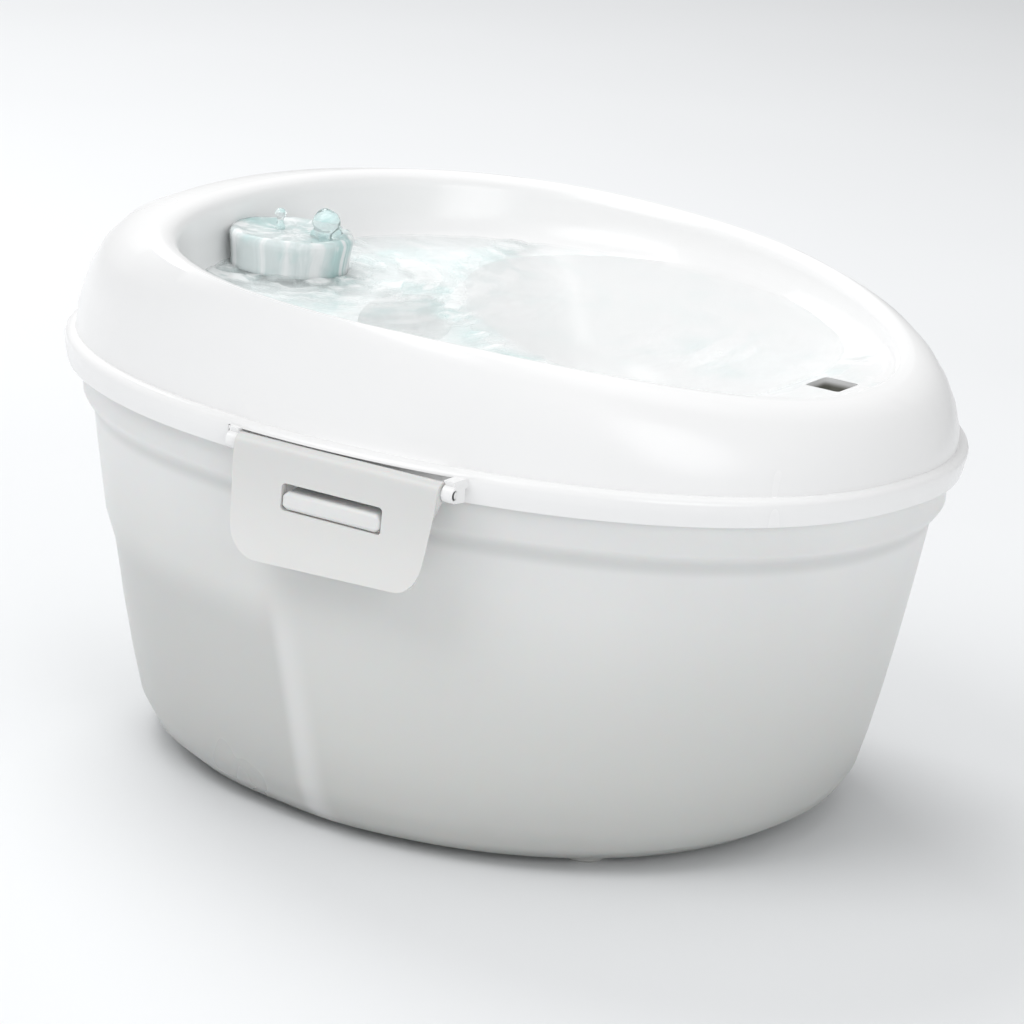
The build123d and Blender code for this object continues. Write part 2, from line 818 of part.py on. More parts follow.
def make_chamber():
    """Impeller chamber: square block with the outlet on top and the gate's rails on its outer face."""
    half = chamber_side / 2
    chamber = block(chamber_x, pump_rear_x, -half, half, rotor_z - half, chamber_top_z)
    chamber = fillet(chamber.edges().filter_by(Axis.X), chamber_corner)
    chamber += cylinder_z(nozzle_radius, chamber_top_z - 1, nozzle_top_z, nozzle_x, 0)
    chamber -= rotor_cylinder(chamber_bore / 2, chamber_x + chamber_wall, pump_rear_x + 1)
    chamber -= cylinder_z(nozzle_bore / 2, rotor_z, nozzle_top_z + 1, nozzle_x, 0)
    intake = rotor_cylinder(intake_radius, chamber_x - 1, chamber_x + chamber_wall + 1)
    intake -= rotor_cylinder(bush_radius + bush_wall, chamber_x - 2, chamber_x + chamber_wall + 2)
    spoke = block(chamber_x - 2, pump_rear_x, 0, intake_radius + 1, -spoke_width / 2, spoke_width / 2)
    for turn in (90, 210, 330):
        intake -= Pos(0, 0, rotor_z) * Rot(turn, 0, 0) * spoke
    chamber -= intake
    chamber -= rotor_cylinder(bush_radius, chamber_x - 1, chamber_x + chamber_wall + 1)
    for side in (-1, 1):
        chamber += gate_rail(side)
    return chamber - seal_groove(pump_rear_x - seal_section)


def gate_rail(side):
    """L-shaped rail above or below the intake that keeps the gate."""
    half = strainer_side / 2 - strainer_wall - gate_gap
    edge = gate_side / 2 + gate_gap
    face_x = chamber_x - gate_gap * 2 - gate_thickness
    rail = block(face_x - rail_lip, chamber_x, -half, half, edge, edge + rail_lip)
    rail += block(face_x - rail_lip, face_x, -half, half, edge - rail_lip, edge)
    if side < 0:
        rail = mirror(rail, Plane.XY)
    return Pos(0, 0, rotor_z) * rail


def make_chamber_seal():
    return seal_groove(pump_rear_x - seal_section)


def make_strainer():
    """Slotted cap over the intake, with one long slot for the gate's knob."""
    half = strainer_side / 2
    x_low = chamber_x - strainer_depth
    strainer = block(x_low, chamber_x, -half, half, rotor_z - half, rotor_z + half)
    strainer = fillet(strainer.edges().filter_by(Axis.X), strainer_corner)
    inner = half - strainer_wall
    strainer -= block(x_low + strainer_wall, chamber_x + 1, -inner, inner, rotor_z - inner, rotor_z + inner)
    reach = inner - strainer_slot
    for row in (-2, -1, 1, 2):
        z = rotor_z + row * strainer_pitch
        slot_half = strainer_slot / 2
        strainer -= block(x_low - 1, x_low + 2 * strainer_wall, -reach, reach, z - slot_half, z + slot_half)
    knob_half = knob_side / 2 + gate_gap
    knob_low = gate_y - knob_half
    knob_high = gate_y + gate_travel + knob_half
    knob_slot = block(x_low - 1, x_low + 2 * strainer_wall, knob_low, knob_high, rotor_z - knob_half,
                      rotor_z + knob_half)
    return strainer - knob_slot


def make_flow_regulator():
    """Gate that slides across the intake, with its knob."""
    x_high = chamber_x - gate_gap
    half = gate_side / 2
    gate = block(x_high - gate_thickness, x_high, gate_y - half, gate_y + half, rotor_z - half, rotor_z + half)
    knob = knob_side / 2
    knob_x = chamber_x - strainer_depth - knob_proud
    return gate + block(knob_x, x_high, gate_y - knob, gate_y + knob, rotor_z - knob, rotor_z + knob)


def magnet_x():
    """Front and rear ends of the rotor magnet."""
    return pump_rear_x + rotor_end_gap, pump_rear_x + rotor_end_gap + magnet_length


def make_impeller():
    """Hub with a disc and straight blades, on the magnet's end."""
    near_x = magnet_x()[0]
    disc_x = pump_rear_x - disc_gap - disc_thickness
    blade_x = disc_x - blade_width
    impeller = rotor_cylinder(hub_radius, blade_x, near_x)
    impeller += rotor_cylinder(blade_radius, disc_x, disc_x + disc_thickness)
    half = blade_thickness / 2
    blade = block(blade_x, disc_x, 0, blade_radius, -half, half)
    for i in range(blade_count):
        impeller += Pos(0, 0, rotor_z) * Rot(360 * i / blade_count, 0, 0) * blade
    return impeller - rotor_cylinder(shaft_radius + shaft_clearance, blade_x - 1, near_x + 1)


def make_magnet():
    low_x, high_x = magnet_x()
    magnet = rotor_cylinder(magnet_radius, low_x, high_x)
    return magnet - rotor_cylinder(shaft_radius + shaft_clearance, low_x, high_x)


def make_shaft():
    return rotor_cylinder(shaft_radius, chamber_x, can_bore_x + bush_length)


def make_bushes():
    """Rubber bushes in the intake's hub and in the can's end."""
    bushes = []
    for low_x, length in ((chamber_x, chamber_wall), (can_bore_x, bush_length)):
        bush = rotor_cylinder(bush_radius, low_x, low_x + length)
        bushes.append(bush - rotor_cylinder(shaft_radius, low_x, low_x + length))
    return Compound(bushes)


def make_cord_gland():
    """Rubber gland in the housing's side, bored blind for the cord."""
    inner_y = pump_width / 2 - pump_wall
    outer_y = pump_width / 2 + gland_length
    gland = cylinder_y(gland_radius, inner_y, outer_y, gland_x(), gland_z)
    return gland - cylinder_y(gland_bore / 2, inner_y + pump_wall, outer_y, gland_x(), gland_z)


# ---- Pump cover and filter cartridge ----
def cover_body(radius, front_x, high_z, low_z, corner):
    """D-shaped box, round at the rear."""
    plan = Pos(cover_centre_x, 0) * Circle(radius)
    length = front_x - cover_centre_x
    plan += Pos(cover_centre_x + length / 2, 0) * Rectangle(length, 2 * radius)
    plan &= Pos(front_x - 2 * radius, 0) * Rectangle(4 * radius, 4 * radius)
    body = extrude(Pos(0, 0, low_z) * plan, high_z - low_z)
    front = body.edges().filter_by(Axis.Z).group_by(Axis.X)[-1]
    body = fillet(front, corner)
    return fillet(body.faces().sort_by(Axis.Z)[-1].edges(), corner)


def make_pump_cover():
    """Cover over the pump: stands on the tank's floor, open at the front for the cartridge."""
    cover = cover_body(cover_radius, cover_front_x, cover_top_z, floor_z, cover_round)
    inner_radius = cover_radius - cover_wall
    inner_z = cover_top_z - cover_wall
    cover -= cover_body(inner_radius, cover_front_x - cover_wall, inner_z, floor_z, cover_round - cover_wall)
    cover -= cylinder_z(riser_bore + riser_wall + cover_hole_gap, inner_z - 1, cover_top_z + 1, nozzle_x, 0)
    half = cartridge_width / 2 + cartridge_fit
    low_z = cartridge_low_z - cartridge_fit
    high_z = cartridge_low_z + cartridge_height + cartridge_fit
    cover -= block(cover_front_x - 2 * cover_wall, cover_front_x + 1, -half, half, low_z, high_z)
    cord = cord_slot_width / 2
    cord_z = floor_z + cord_slot_height
    return cover - block(gland_x() - cord, gland_x() + cord, 0, cover_radius + 1, floor_z, cord_z)


def cartridge_block(x_low, x_high, margin):
    half = cartridge_width / 2 + margin
    low_z = cartridge_low_z - margin
    high_z = cartridge_low_z + cartridge_height + margin
    return block(x_low, x_high, -half, half, low_z, high_z)


def make_filter_frame():
    """Cartridge box with a flange and a grid in front."""
    rear_x = cover_front_x - cartridge_depth
    frame = cartridge_block(rear_x, cover_front_x, 0)
    flange = cartridge_block(cover_front_x, cover_front_x + flange_thickness, flange_margin)
    frame += fillet(flange.edges().filter_by(Axis.X), flange_margin)
    frame -= cartridge_block(rear_x, cover_front_x, -frame_wall)
    inner_width = cartridge_width - 2 * frame_wall
    inner_height = cartridge_height - 2 * frame_wall
    hole_width = (inner_width - (bar_columns - 1) * bar_width) / bar_columns
    hole_height = (inner_height - (bar_rows - 1) * bar_width) / bar_rows
    hole = Box(4 * flange_thickness, hole_width, hole_height)
    for row in range(bar_rows):
        z = cartridge_low_z + frame_wall + hole_height / 2 + row * (hole_height + bar_width)
        for column in range(bar_columns):
            y = -inner_width / 2 + hole_width / 2 + column * (hole_width + bar_width)
            frame -= Pos(cover_front_x, y, z) * hole
    return frame


def make_filter_foam():
    return cartridge_block(cover_front_x - foam_depth, cover_front_x, -frame_wall)


def make_filter_carbon():
    high_x = cover_front_x - foam_depth
    return cartridge_block(high_x - carbon_depth, high_x, -frame_wall)


def make_filter_grille():
    """Slotted plate that closes the cartridge's back."""
    high_x = cover_front_x - foam_depth - carbon_depth
    grille = cartridge_block(high_x - grille_depth, high_x, -frame_wall)
    inner_width = cartridge_width - 2 * frame_wall
    pitch = inner_width / grille_slots
    length = cartridge_height - 4 * frame_wall
    middle_z = cartridge_low_z + cartridge_height / 2
    for i in range(grille_slots):
        y = -inner_width / 2 + pitch * (i + 0.5)
        grille -= Pos(high_x, y, middle_z) * Box(4 * grille_depth, grille_slot_width, length)
    return grille


# ---- Write the parts ----
os.makedirs("parts", exist_ok=True)
makers = {
    "tank": make_tank,
    "tank_feet": make_feet,
    "lid_bowl": make_lid,
    "deflector_cap": make_deflector_cap,
    "latch_near": make_latch_near,
    "latch_far": lambda: mirrored_y(make_latch_near()),
    "latch_hinge_pins": make_latch_pins,
    "riser_tube": make_riser_tube,
    "riser_grommet": make_riser_grommet,
    "pump_cover": make_pump_cover,
    "filter_frame": make_filter_frame,
    "filter_foam": make_filter_foam,
    "filter_carbon": make_filter_carbon,
    "filter_grille": make_filter_grille,
    "pump_housing": make_pump_housing,
    "potting_resin": make_potting_resin,
    "stator_core": make_stator_core,
    "stator_coils": make_stator_coils,
    "impeller_chamber": make_chamber,
    "chamber_seal": make_chamber_seal,
    "intake_strainer": make_strainer,
    "flow_regulator": make_flow_regulator,
    "impeller": make_impeller,
    "rotor_magnet": make_magnet,
    "rotor_shaft": make_shaft,
    "shaft_bushes": make_bushes,
    "pump_suction_cups": make_pump_cups,
    "cord_gland": make_cord_gland,
}
for node, maker in makers.items():
    export_step(maker(), f"parts/{node}.step")
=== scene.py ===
import json
from math import cos, exp, pi, radians, sin, sqrt

import bmesh
import bpy
from mathutils import Matrix, Vector, noise
from mathutils.bvhtree import BVHTree


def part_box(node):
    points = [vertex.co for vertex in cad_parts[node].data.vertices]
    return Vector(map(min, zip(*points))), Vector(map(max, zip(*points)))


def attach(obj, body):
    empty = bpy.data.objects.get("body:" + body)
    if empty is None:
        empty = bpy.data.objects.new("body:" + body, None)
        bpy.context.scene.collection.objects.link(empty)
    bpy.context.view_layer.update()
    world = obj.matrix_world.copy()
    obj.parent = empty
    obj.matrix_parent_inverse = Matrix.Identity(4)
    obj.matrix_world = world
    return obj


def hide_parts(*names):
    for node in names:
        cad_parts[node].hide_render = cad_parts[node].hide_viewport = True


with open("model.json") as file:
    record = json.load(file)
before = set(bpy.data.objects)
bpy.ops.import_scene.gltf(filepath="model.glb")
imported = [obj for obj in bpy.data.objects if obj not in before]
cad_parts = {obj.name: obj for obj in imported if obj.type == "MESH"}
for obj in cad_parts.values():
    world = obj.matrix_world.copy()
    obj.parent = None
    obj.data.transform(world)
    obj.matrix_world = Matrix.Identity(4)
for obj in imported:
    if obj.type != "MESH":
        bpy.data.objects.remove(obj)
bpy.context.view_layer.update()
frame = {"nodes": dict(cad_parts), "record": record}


scene = bpy.context.scene
nodes = frame["nodes"]
record = frame["record"]
slot_of = {part["node"]: part["material_slot"] for part in record["subparts"]}
body_of = {}
for body_name, members in record["behaviour"]["bodies"].items():
    for member in members:
        body_of[member] = body_name

MM = 0.001

# ---- Camera: the photograph's viewing angle, solved from the outlines of the fountain's ovals ----
camera_azimuth = radians(29.644)
camera_elevation = radians(15.953)
camera_roll = radians(-5.484)
camera_distance = 1.301
camera_target = Vector((0, 0, 0.0665))
focal_pixels = 4645.0
centre_pixel = (497.72, 523.26)
image_size = 1024
sensor_width = 36.0
far_clip = 20.0


def set_camera():
    flat = cos(camera_elevation)
    back = Vector((sin(camera_azimuth) * flat, -cos(camera_azimuth) * flat, sin(camera_elevation)))
    level = Vector((cos(camera_azimuth), sin(camera_azimuth), 0))
    upright = back.cross(level)
    right = level * cos(camera_roll) - upright * sin(camera_roll)
    up = level * sin(camera_roll) + upright * cos(camera_roll)
    data = bpy.data.cameras.new("camera")
    data.sensor_width = sensor_width
    data.lens = sensor_width * focal_pixels / image_size
    data.shift_x = (image_size / 2 - centre_pixel[0]) / image_size
    data.shift_y = (centre_pixel[1] - image_size / 2) / image_size
    data.clip_end = far_clip
    camera = bpy.data.objects.new("camera", data)
    turn = Matrix((right, up, back)).transposed().to_4x4()
    camera.matrix_world = Matrix.Translation(camera_target + back * camera_distance) @ turn
    scene.collection.objects.link(camera)
    scene.camera = camera


set_camera()

# ---- Light: four round softboxes and a pale sky ----
light_aim = Vector((0, 0, 0.08))
sky_colour = (0.93, 0.935, 0.94, 1)
sky_strength = 0.55


def area_light(name, place, size, watts):
    data = bpy.data.lights.new(name, "AREA")
    data.shape = "DISK"
    data.size = size
    data.energy = watts
    lamp = bpy.data.objects.new(name, data)
    lamp.location = place
    lamp.rotation_euler = (light_aim - Vector(place)).to_track_quat("-Z", "Y").to_euler()
    scene.collection.objects.link(lamp)


area_light("key_softbox", (-0.45, -0.95, 1.4), 1.1, 9.0)
area_light("rear_softbox", (-0.9, 0.6, 1.25), 0.8, 10.5)
area_light("top_softbox", (0.15, 0.1, 1.6), 1.3, 3.0)
area_light("front_softbox", (1.2, -0.85, 0.65), 0.9, 4.8)

world = bpy.data.worlds.new("studio")
scene.world = world
world.use_nodes = True
sky = world.node_tree.nodes["Background"]
sky.inputs["Color"].default_value = sky_colour
sky.inputs["Strength"].default_value = sky_strength


# ---- Materials ----
def linear(value):
    """A display value from 0 to 1 as a linear one, by the sRGB curve."""
    return value / 12.92 if value <= 0.04045 else ((value + 0.055) / 1.055) ** 2.4


def colour(rgb):
    return (linear(rgb[0]), linear(rgb[1]), linear(rgb[2]), 1.0)


# The part of a noise's range over which tints and gloss drift, and the depth of a moulding grain
drift_low, drift_high = 0.3, 0.7
grain_depth = 0.4 * MM


class Nodes:
    """A material's node tree, with short calls for what the materials here use."""

    def __init__(self, name):
        self.material = bpy.data.materials.new(name)
        self.material.use_nodes = True
        self.tree = self.material.node_tree
        self.bsdf = self.tree.nodes["Principled BSDF"]
        self.place = self.tree.nodes.new("ShaderNodeTexCoord").outputs["Object"]

    def link(self, source, target):
        self.tree.links.new(source, target)

    def noise(self, scale, detail=2.0, vector=None, distortion=0.0):
        node = self.tree.nodes.new("ShaderNodeTexNoise")
        node.inputs["Scale"].default_value = scale
        node.inputs["Detail"].default_value = detail
        node.inputs["Distortion"].default_value = distortion
        self.link(vector or self.place, node.inputs["Vector"])
        return node.outputs["Fac"]

    def ramp(self, value, *stops):
        """Colour by value: stops are (position, rgb)."""
        node = self.tree.nodes.new("ShaderNodeValToRGB")
        points = node.color_ramp.elements
        while len(points) < len(stops):
            points.new(0.5)
        for point, (position, rgb) in zip(points, stops):
            point.position = position
            point.color = colour(rgb)
        self.link(value, node.inputs["Fac"])
        return node.outputs["Color"]

    def spread(self, value, low, high, to_low=0.0, to_high=1.0, smooth=True):
        node = self.tree.nodes.new("ShaderNodeMapRange")
        node.interpolation_type = "SMOOTHSTEP" if smooth else "LINEAR"
        node.inputs["From Min"].default_value = low
        node.inputs["From Max"].default_value = high
        node.inputs["To Min"].default_value = to_low
        node.inputs["To Max"].default_value = to_high
        self.link(value, node.inputs["Value"])
        return node.outputs["Result"]

    def drifted(self, drift, to_low, to_high):
        return self.spread(drift, drift_low, drift_high, to_low, to_high)

    def math(self, operation, first, second=None):
        node = self.tree.nodes.new("ShaderNodeMath")
        node.operation = operation
        for socket, value in zip(node.inputs, (first, second)):
            if isinstance(value, (int, float)):
                socket.default_value = value
            elif value is not None:
                self.link(value, socket)
        return node.outputs["Value"]

    def times(self, first, *others):
        product = first
        for other in others:
            product = self.math("MULTIPLY", product, other)
        return product

    def off_centre(self, value, centre=0.0):
        """Distance of a value from a centre, to either side."""
        return self.math("ABSOLUTE", self.math("ADD", value, -centre) if centre else value)

    def mix(self, share, first, second):
        """Colour between two colours, which are sockets or rgb values."""
        node = self.tree.nodes.new("ShaderNodeMix")
        node.data_type = "RGBA"
        for socket, value in ((node.inputs["A"], first), (node.inputs["B"], second)):
            if isinstance(value, tuple):
                socket.default_value = colour(value)
            else:
                self.link(value, socket)
        self.link(share, node.inputs["Factor"])
        return node.outputs["Result"]

    def axis(self, letter):
        node = self.tree.nodes.new("ShaderNodeSeparateXYZ")
        self.link(self.place, node.inputs["Vector"])
        return node.outputs[letter]

    def attribute(self, name, output="Fac"):
        node = self.tree.nodes.new("ShaderNodeAttribute")
        node.attribute_name = name
        return node.outputs[output]

    def bump(self, height, strength, distance=grain_depth):
        node = self.tree.nodes.new("ShaderNodeBump")
        node.inputs["Strength"].default_value = strength
        node.inputs["Distance"].default_value = distance
        self.link(height, node.inputs["Height"])
        self.link(node.outputs["Normal"], self.bsdf.inputs["Normal"])

    def colour(self, socket):
        self.link(socket, self.bsdf.inputs["Base Color"])

    def gloss(self, drift, low, high):
        """Roughness that drifts between two values."""
        self.link(self.drifted(drift, low, high), self.bsdf.inputs["Roughness"])

    def set(self, **sockets):
        for name, value in sockets.items():
            self.bsdf.inputs[name.replace("_", " ")].default_value = value


def plastic(name, low, high, rough, grain, grain_size, mottle, sockets=None):
    """A slow drift between two tints, with a fine moulding grain in the gloss and the bump."""
    mat = Nodes(name)
    drift = mat.noise(mottle, 3)
    mat.colour(mat.ramp(drift, (drift_low, low), (drift_high, high)))
    mat.gloss(drift, max(rough - 0.04, 0.02), rough + 0.04)
    mat.bump(mat.noise(grain_size), grain)
    mat.set(**(sockets or {}))
    return mat.material


# The tank's rear flanks lie a little back behind a ridge, which leans to the rear going up and
# fades out below the collar. The flanks get painted shade and the ridge a painted highlight;
# pairs are where each starts and where it is full, from the ridge.
flank_ridge_foot = 6.3 * MM
flank_ridge_lean = 0.30
flank_shade_span = (1.5 * MM, -3.5 * MM)
ridge_highlight_rear = (-4.0 * MM, 0.5 * MM)
ridge_highlight_front = (8.5 * MM, 1.5 * MM)
flank_top, flank_fade = 64 * MM, 14 * MM
# The collar's underside is a step, with painted shade from a little below to a little above.
collar_step, step_below, step_above = 88.5 * MM, 3 * MM, 4 * MM
# Height over which painted shade darkens the tank towards its bottom
tank_shade_top = 100 * MM


def tank_material(name):
    """Translucent grey-white plastic with painted shade: darker low down, on the rear flanks and
    under the collar, and a painted highlight on the flanks' ridge.
    """
    mat = Nodes(name)
    along, up = mat.axis("X"), mat.axis("Z")
    drift = mat.noise(14, 3)
    # Painted shade: the tank darker towards the bottom
    base = mat.ramp(
        mat.spread(up, 0.0, tank_shade_top, smooth=False),
        (0.03, (0.73, 0.733, 0.722)),
        (0.3, (0.815, 0.818, 0.808)),
        (0.6, (0.870, 0.872, 0.866)),
        (0.85, (0.915, 0.916, 0.914)),
    )
    base = mat.mix(mat.drifted(drift, 0.0, 0.2), base, (0.83, 0.84, 0.83))
    edge = mat.math("ADD", along, mat.times(up, flank_ridge_lean))
    edge = mat.math("ADD", edge, -flank_ridge_foot)
    below = mat.spread(up, flank_top, flank_top - flank_fade)
    # Painted shade on the recessed rear flanks
    flank_shade = mat.times(mat.spread(edge, *flank_shade_span), below)
    # Painted highlight along the flanks' ridge
    ridge_highlight = mat.times(
        mat.spread(edge, *ridge_highlight_rear), mat.spread(edge, *ridge_highlight_front), below)
    base = mat.mix(mat.times(flank_shade, 0.5), base, (0.74, 0.745, 0.74))
    base = mat.mix(mat.times(ridge_highlight, 0.5), base, (0.90, 0.90, 0.90))
    # Painted shade under the collar's step
    step = mat.times(
        mat.spread(up, collar_step - step_below, collar_step),
        mat.spread(up, collar_step + step_above, collar_step),
    )
    base = mat.mix(mat.times(step, 0.45), base, (0.78, 0.785, 0.78))
    mat.colour(base)
    mat.gloss(drift, 0.27, 0.36)
    mat.bump(mat.noise(800), 0.05)
    mat.set(Subsurface_Weight=0.12, Subsurface_Scale=0.004)
    return mat.material


# The shaft of the lid's drain hole, and how softly the painted shade inside it ends
drain_middle = 98 * MM
drain_shade_half_length, drain_shade_half_width = 6.0 * MM, 7.3 * MM
drain_shade_top = 125.9 * MM
drain_shade_edge, drain_shade_fade = 0.3 * MM, 0.9 * MM


def lid_material(name):
    """Glossy white plastic, with painted shade greying the inside of the drain hole."""
    mat = Nodes(name)
    along, across, up = mat.axis("X"), mat.axis("Y"), mat.axis("Z")
    drift = mat.noise(8, 3)
    base = mat.ramp(drift, (drift_low, (0.955, 0.955, 0.955)), (drift_high, (0.968, 0.968, 0.968)))
    # Painted shade inside the drain's shaft
    drain_shade = mat.times(
        mat.spread(mat.off_centre(along, drain_middle),
                   drain_shade_half_length + drain_shade_edge, drain_shade_half_length - drain_shade_edge),
        mat.spread(mat.off_centre(across),
                   drain_shade_half_width + drain_shade_edge, drain_shade_half_width - drain_shade_edge),
        mat.spread(up, drain_shade_top + drain_shade_fade, drain_shade_top - drain_shade_fade),
    )
    mat.colour(mat.mix(drain_shade, base, (0.50, 0.50, 0.47)))
    mat.gloss(drift, 0.21, 0.28)
    mat.bump(mat.noise(900), 0.03)
    return mat.material


# Heights on the flap over which painted shade from the bead above darkens it going up
latch_shade_heights = (75 * MM, 105 * MM)


def latch_material(name):
    """The flap's plastic, with painted shade from the bead above: greyer towards its hinge."""
    mat = Nodes(name)
    drift = mat.noise(30, 3)
    # Painted shade under the lid's bead, darker going up
    height = mat.spread(mat.axis("Z"), *latch_shade_heights)
    base = mat.ramp(height, (0.0, (0.905, 0.906, 0.900)), (1.0, (0.855, 0.857, 0.853)))
    mat.colour(mat.mix(mat.drifted(drift, 0.0, 0.25), base, (0.88, 0.88, 0.87)))
    mat.gloss(drift, 0.28, 0.36)
    mat.bump(mat.noise(900), 0.05)
    mat.set(Subsurface_Weight=0.1, Subsurface_Scale=0.003)
    return mat.material


def foam_material(name, low, high, size, pore):
    """Open cells: a light web with painted shade darkening the pores, or granules."""
    mat = Nodes(name)
    cells = mat.tree.nodes.new("ShaderNodeTexVoronoi")
    cells.inputs["Scale"].default_value = size
    mat.link(mat.place, cells.inputs["Vector"])
    distance = cells.outputs["Distance"]
    # Painted shade in the pores
    mat.colour(mat.ramp(distance, (0.1, low), (0.55, high)))
    mat.bump(distance, pore, 0.6 * MM)
    mat.set(Roughness=0.9)
    return mat.material


mats = {
    "tank_plastic": tank_material("tank_plastic"),
    "lid_plastic": lid_material("lid_plastic"),
    "latch_plastic": latch_material("latch_plastic"),
    "foam": foam_material("foam", (0.45, 0.52, 0.56), (0.84, 0.87, 0.89), 1100, 0.9),
    "carbon": foam_material("carbon", (0.03, 0.03, 0.03), (0.24, 0.24, 0.24), 900, 1.0),
}
# Slot, its two tints, roughness, strength and size of the grain, size of the drift, and what else
# the shader needs
for slot, *look in (
    ("cap_plastic", (0.95, 0.97, 0.97), (0.98, 0.99, 0.99), 0.12, 0.03, 500, 90, {"Alpha": 0.82}),
    ("pin_plastic", (0.90, 0.90, 0.90), (0.93, 0.93, 0.93), 0.35, 0.05, 900, 60),
    ("rubber_feet", (0.70, 0.70, 0.69), (0.76, 0.76, 0.75), 0.7, 0.2, 1500, 120),
    ("tube_plastic", (0.86, 0.90, 0.90), (0.92, 0.94, 0.94), 0.2, 0.03, 900, 60, {"Alpha": 0.8}),
    ("black_rubber", (0.11, 0.11, 0.11), (0.16, 0.16, 0.16), 0.65, 0.2, 1500, 150),
    ("cover_plastic", (0.87, 0.88, 0.88), (0.91, 0.91, 0.91), 0.4, 0.06, 1100, 20),
    ("filter_plastic", (0.89, 0.89, 0.89), (0.93, 0.93, 0.93), 0.4, 0.06, 1100, 40),
    ("pump_plastic", (0.10, 0.10, 0.11), (0.15, 0.15, 0.16), 0.42, 0.12, 1500, 60),
    ("resin", (0.13, 0.11, 0.10), (0.19, 0.17, 0.15), 0.25, 0.04, 400, 60),
    ("core_steel", (0.48, 0.48, 0.49), (0.60, 0.60, 0.61), 0.4, 0.1, 1500, 200, {"Metallic": 1.0}),
    ("copper", (0.66, 0.33, 0.18), (0.80, 0.45, 0.26), 0.3, 0.3, 2500, 300, {"Metallic": 1.0}),
    ("impeller_plastic", (0.78, 0.79, 0.79), (0.84, 0.85, 0.85), 0.4, 0.05, 1100, 90),
    ("magnet", (0.20, 0.20, 0.21), (0.28, 0.28, 0.29), 0.5, 0.2, 1800, 200),
    ("ceramic", (0.90, 0.90, 0.88), (0.95, 0.95, 0.93), 0.15, 0.02, 900, 100),
):
    mats[slot] = plastic(slot, *look)


def paint(obj, material):
    obj.data.materials.clear()
    obj.data.materials.append(material)


for node_name, node_object in nodes.items():
    paint(node_object, mats[slot_of[node_name]])


# ---- Pieces ----
def add_piece(name, mesh, material, body):
    piece = bpy.data.objects.new(name, mesh)
    scene.collection.objects.link(piece)
    paint(piece, material)
    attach(piece, body)
    return piece


def mesh_of(work, name):
    mesh = bpy.data.meshes.new(name)
    work.to_mesh(mesh)
    work.free()
    return mesh


def shade_smooth(mesh):
    mesh.polygons.foreach_set("use_smooth", [True] * len(mesh.polygons))


def clamp(value):
    return min(max(value, 0.0), 1.0)


def smooth_step(value):
    s = clamp(value)
    return s * s * (3 - 2 * s)


# ---- Skins: smooth copies of the solids' meshes ----
smooth_angle = radians(33)
weld_distance = 0.002 * MM
same_direction = 0.9998
nudge = 0.05 * MM
split_rounds = 3
bevel_segments = 3


def blended(mesh, normals):
    """Each corner's normal, shared with those at its vertex that differ by less than a crease."""
    groups = [[] for _ in mesh.vertices]
    for loop, normal in zip(mesh.loops, normals):
        group = groups[loop.vertex_index]
        if all(normal.dot(other) < same_direction for other in group):
            group.append(normal)
    crease = cos(smooth_angle)
    shared = []
    for loop, normal in zip(mesh.loops, normals):
        near = (other for other in groups[loop.vertex_index] if normal.dot(other) > crease)
        total = sum(near, Vector())
        shared.append(total.normalized() if total.length > 0 else normal)
    return shared


def reshaped_normals(mesh, shape):
    """The solid's own normals, turned with the surface where a skin is reshaped."""
    count = len(mesh.loops)
    flat = [0.0] * (3 * count)
    mesh.attributes["cad_normal"].data.foreach_get("vector", flat)
    mesh.attributes.remove(mesh.attributes["cad_normal"])
    normals = [Vector(flat[3 * i:3 * i + 3]) for i in range(count)]
    normals = blended(mesh, normals)
    if shape:
        turns = []
        for item in mesh.attributes["cad_place"].data:
            place = Vector(item.vector)
            steps = [Vector([nudge * (i == k) for k in range(3)]) for i in range(3)]
            slopes = [(shape(place + step) - shape(place - step)) / (2 * nudge) for step in steps]
            turns.append(Matrix(slopes).inverted_safe())
        normals = [turns[loop.vertex_index] @ normal for loop, normal in zip(mesh.loops, normals)]
    mesh.attributes.remove(mesh.attributes["cad_place"])
    return [normal.normalized() for normal in normals]


def split_long_edges(work, longest):
    for _ in range(split_rounds):
        long_edges = [edge for edge in work.edges if edge.calc_length() > longest]
        bmesh.ops.subdivide_edges(work, edges=long_edges, cuts=1)
        bmesh.ops.triangulate(work, faces=[face for face in work.faces if len(face.verts) > 3])


